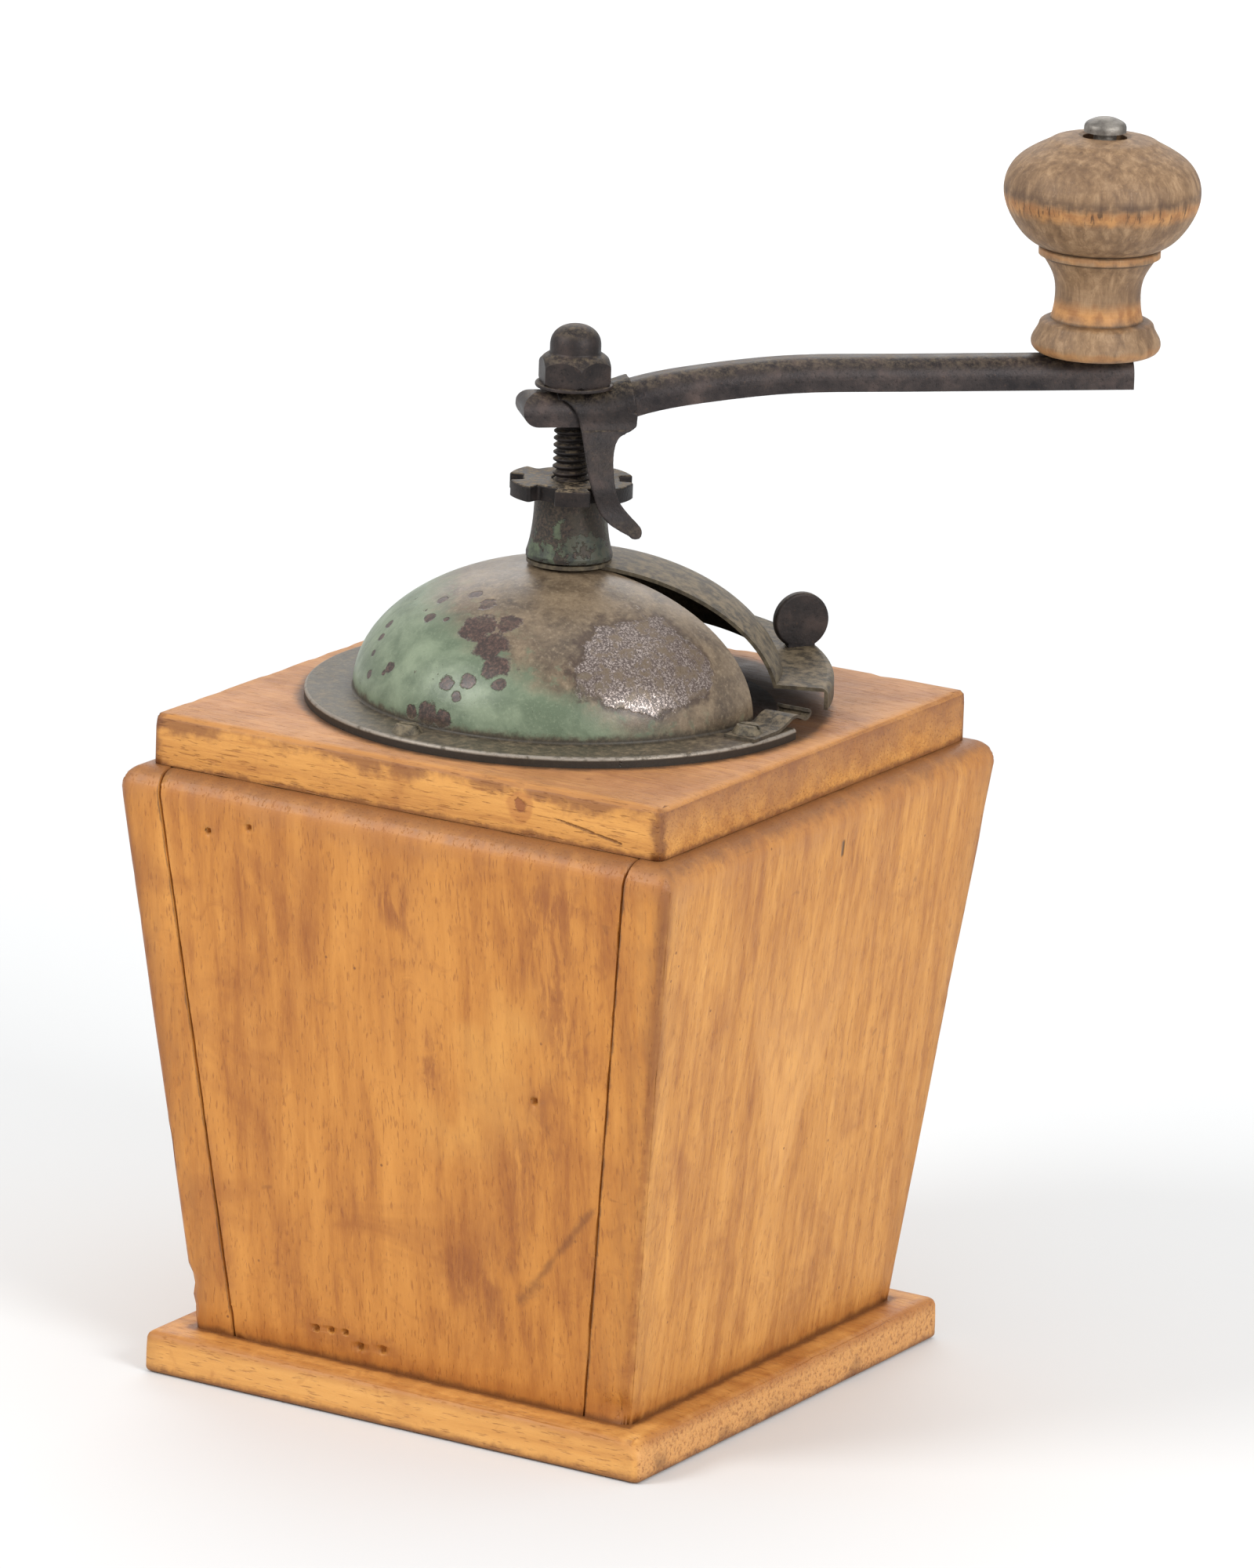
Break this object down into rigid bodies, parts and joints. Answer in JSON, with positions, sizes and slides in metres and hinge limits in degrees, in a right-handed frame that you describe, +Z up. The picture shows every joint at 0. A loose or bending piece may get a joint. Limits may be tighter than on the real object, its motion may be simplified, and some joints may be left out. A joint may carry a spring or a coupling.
{
  "type": "box coffee mill",
  "caption": "Wooden box coffee mill with a domed hopper, turning shutter, crank, conical burrs and a drawer for the ground coffee.",
  "frame": {"origin": "centre of the underside of the base board", "axes": "+Z up along the spindle; +Y is the side the drawer pulls out of; +X is the side board to the right when looking along +Y"},
  "size_m": [0.1716, 0.1633, 0.2701],
  "materials": {
    "case_wood": "worn oiled beech",
    "drawer_wood": "plain beech",
    "knob_wood": "worn turned beech",
    "green_paint": "chipped sage green paint over rusty sheet",
    "shutter_sheet": "dusty olive-brown old paint",
    "dark_steel": "dark rusted steel",
    "bright_steel": "dull worn steel",
    "cast_iron": "raw cast iron"
  },
  "bodies": {
    "case": {"base_board": "case_wood", "side_board_left": "case_wood", "side_board_right": "case_wood", "back_panel": "case_wood", "front_panel": "case_wood", "top_board": "case_wood", "base_screws": "bright_steel", "hopper_dome": "green_paint", "hopper_neck": "green_paint", "flange_screws": "shutter_sheet", "shutter_stop": "shutter_sheet", "mill_housing": "cast_iron", "housing_screws": "bright_steel", "outer_burr": "cast_iron", "upper_bridge": "bright_steel", "lower_bridge": "bright_steel", "lower_bridge_screws": "bright_steel"},
    "drawer": {"drawer_front": "case_wood", "drawer_side_left": "drawer_wood", "drawer_side_right": "drawer_wood", "drawer_back": "drawer_wood", "drawer_bottom": "drawer_wood", "drawer_nails": "bright_steel", "drawer_knob": "knob_wood", "drawer_knob_screw": "bright_steel"},
    "shutter": {"shutter": "shutter_sheet", "thumb_tab": "dark_steel"},
    "nut": {"adjusting_nut": "dark_steel"},
    "crank": {"spindle": "dark_steel", "burr_cone": "cast_iron", "burr_pin": "bright_steel", "cap_washer": "dark_steel", "cap_nut": "dark_steel", "locking_clip": "dark_steel", "crank_arm": "dark_steel", "knob_pin": "bright_steel", "knob_washer": "dark_steel"},
    "tongue": {"locking_tongue": "dark_steel"},
    "knob": {"knob": "knob_wood"}
  },
  "joints": [
    {"name": "crank_turn", "type": "hinge", "parent": "case", "child": "nut", "pos_m": [0, 0, 0.19], "axis": [0, 0, 1], "continuous": true},
    {"name": "grind_adjust", "type": "slide", "parent": "nut", "child": "crank", "axis": [0, 0, 1], "range_m": [-0.00075, 0.00075]},
    {"name": "clip_release", "type": "hinge", "parent": "crank", "child": "tongue", "pos_m": [0.00475, -0.00528, 0.2045], "axis": [-0.7431, -0.6691, 0], "range_deg": [0, 12]},
    {"name": "knob_spin", "type": "hinge", "parent": "crank", "child": "knob", "pos_m": [0.08293, 0.07468, 0.24], "axis": [0, 0, 1], "continuous": true},
    {"name": "shutter_turn", "type": "hinge", "parent": "case", "child": "shutter", "pos_m": [0, 0, 0.16], "axis": [0, 0, 1], "range_deg": [-17, 90]},
    {"name": "drawer_slide", "type": "slide", "parent": "case", "child": "drawer", "axis": [0, 1, 0], "range_m": [0, 0.075]}
  ]
}
